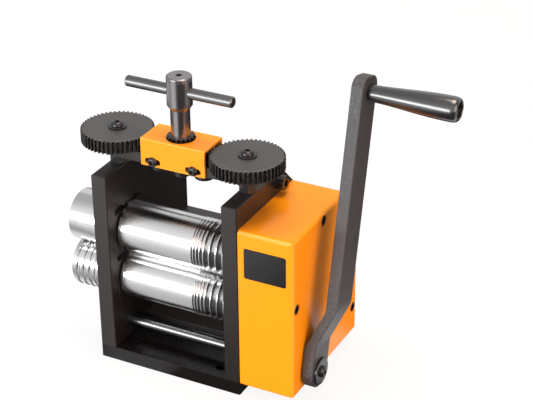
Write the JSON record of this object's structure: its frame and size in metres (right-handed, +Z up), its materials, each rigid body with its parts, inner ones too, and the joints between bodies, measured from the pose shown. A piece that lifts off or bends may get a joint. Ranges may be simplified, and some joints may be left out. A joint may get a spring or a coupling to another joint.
{
  "type": "jewellers rolling mill",
  "caption": "Hand cranked bench rolling mill for sheet and wire, with geared screw-down, wire grooves, outboard rings and a covered gear drive.",
  "frame": {"origin": "centre of the base plate's underside, on the bench", "axes": "+X along the rollers towards the gear cover and crank, +Y from the front to the back, +Z up"},
  "size_m": [0.3437, 0.137, 0.2871],
  "materials": {
    "black_frame": "satin black coated steel",
    "orange_paint": "glossy orange powder coat",
    "roller_steel": "ground and polished hardened steel",
    "shaft_steel": "turned steel",
    "bronze": "machined bearing bronze",
    "gear_steel": "machined steel, greased",
    "black_gear": "blackened steel",
    "black_screws": "black oxide steel",
    "handle_steel": "blackened turned steel",
    "crank_iron": "textured grey-black coated bar",
    "grip_black": "smooth satin black plastic"
  },
  "bodies": {
    "frame": {"base_plate": "black_frame", "base_screws": "black_screws", "side_plate_left": "black_frame", "side_plate_right": "black_frame", "rear_cross_plate": "black_frame", "lower_stiffener": "black_frame", "cross_plate_screws": "black_screws", "upper_tie_rod": "black_frame", "tie_rod_screws": "black_screws", "lower_bearing_blocks": "black_frame", "lower_roller_bushes": "bronze", "drive_shaft_bushes": "black_screws", "drive_idler_stud": "shaft_steel", "retaining_rings": "black_screws", "gear_cover": "orange_paint", "cover_bush": "bronze", "cover_posts": "shaft_steel", "cover_screws": "black_screws", "spindle_bushes": "black_screws", "bridge_bar": "black_frame", "gear_hood": "orange_paint", "gear_hood_screws": "black_screws", "idler_pins": "black_screws", "handle_bush": "bronze"},
    "carriage": {"upper_bearing_blocks": "black_frame", "upper_roller_bushes": "bronze", "lift_springs": "shaft_steel"},
    "upper_roll": {"upper_roller": "roller_steel", "upper_roller_keys": "shaft_steel", "plain_ring": "roller_steel", "upper_roller_washers": "black_screws", "upper_roller_screws": "black_screws", "upper_roller_gear": "gear_steel"},
    "lower_roll": {"lower_roller": "roller_steel", "lower_roller_keys": "shaft_steel", "grooved_ring": "roller_steel", "lower_roller_washers": "black_screws", "lower_roller_screws": "black_screws", "lower_roller_gear": "gear_steel", "drive_wheel": "gear_steel"},
    "idler_wheel": {"drive_idler": "gear_steel", "drive_idler_bush": "bronze"},
    "crank": {"drive_shaft": "shaft_steel", "drive_pinion": "gear_steel", "crank_arm": "crank_iron", "crank_washer": "black_screws", "crank_screw": "black_screws", "grip_bolt": "shaft_steel"},
    "grip": {"crank_grip": "grip_black"},
    "t_handle": {"handle_spindle": "handle_steel", "handle_pinion": "black_gear", "handle_bar": "handle_steel", "handle_set_screw": "black_screws", "handle_collar": "black_screws"},
    "idler_gear_left": {"idler_gear_left": "black_gear"},
    "idler_gear_right": {"idler_gear_right": "black_gear"},
    "spindle_left": {"spindle_left": "black_screws", "spindle_gear_left": "black_gear"},
    "spindle_right": {"spindle_right": "black_screws", "spindle_gear_right": "black_gear"}
  },
  "joints": [
    {"name": "handle_turn", "type": "hinge", "parent": "frame", "child": "t_handle", "pos_m": [0, -0.0333, 0.2642], "axis": [0, 0, 1], "range_deg": [0, 4000]},
    {"name": "roller_lift", "type": "slide", "parent": "frame", "child": "carriage", "axis": [0, 0, 1], "range_m": [0, 0.006], "deforming": ["lift_springs"]},
    {"name": "idler_left_spin", "type": "hinge", "parent": "frame", "child": "idler_gear_left", "pos_m": [-0.02187, -0.0333, 0.2118], "axis": [0, 0, 1], "range_deg": [-4235.4, 0]},
    {"name": "idler_right_spin", "type": "hinge", "parent": "frame", "child": "idler_gear_right", "pos_m": [0.02187, -0.0333, 0.2118], "axis": [0, 0, 1], "range_deg": [-4235.4, 0]},
    {"name": "spindle_left_turn", "type": "hinge", "parent": "carriage", "child": "spindle_left", "pos_m": [-0.06375, -0.0333, 0.2123], "axis": [0, 0, 1], "range_deg": [0, 1440.1]},
    {"name": "spindle_right_turn", "type": "hinge", "parent": "carriage", "child": "spindle_right", "pos_m": [0.06375, -0.0333, 0.2123], "axis": [0, 0, 1], "range_deg": [0, 1440.1]},
    {"name": "upper_roller_spin", "type": "hinge", "parent": "carriage", "child": "upper_roll", "pos_m": [0, -0.0333, 0.1231], "axis": [1, 0, 0], "continuous": true},
    {"name": "lower_roller_spin", "type": "hinge", "parent": "frame", "child": "lower_roll", "pos_m": [0, -0.0333, 0.0758], "axis": [1, 0, 0], "continuous": true},
    {"name": "idler_wheel_spin", "type": "hinge", "parent": "frame", "child": "idler_wheel", "pos_m": [0.10125, -0.01082, 0.03624], "axis": [1, 0, 0], "continuous": true},
    {"name": "crank_turn", "type": "hinge", "parent": "frame", "child": "crank", "pos_m": [0.124, -0.0392, 0.0273], "axis": [1, 0, 0], "continuous": true},
    {"name": "grip_spin", "type": "hinge", "parent": "crank", "child": "grip", "pos_m": [0.19, 0.01866, 0.27205], "axis": [1, 0, 0], "continuous": true}
  ],
  "couplings": [
    {"joint": "handle_turn", "follows": "roller_lift", "rad_per_m": 11636},
    {"joint": "idler_left_spin", "follows": "roller_lift", "rad_per_m": -12320},
    {"joint": "idler_right_spin", "follows": "roller_lift", "rad_per_m": -12320},
    {"joint": "spindle_left_turn", "follows": "roller_lift", "rad_per_m": 4188.8},
    {"joint": "spindle_right_turn", "follows": "roller_lift", "rad_per_m": 4188.8},
    {"joint": "lower_roller_spin", "follows": "crank_turn", "ratio": 0.4},
    {"joint": "upper_roller_spin", "follows": "crank_turn", "ratio": -0.4},
    {"joint": "idler_wheel_spin", "follows": "crank_turn", "ratio": -0.54545}
  ]
}
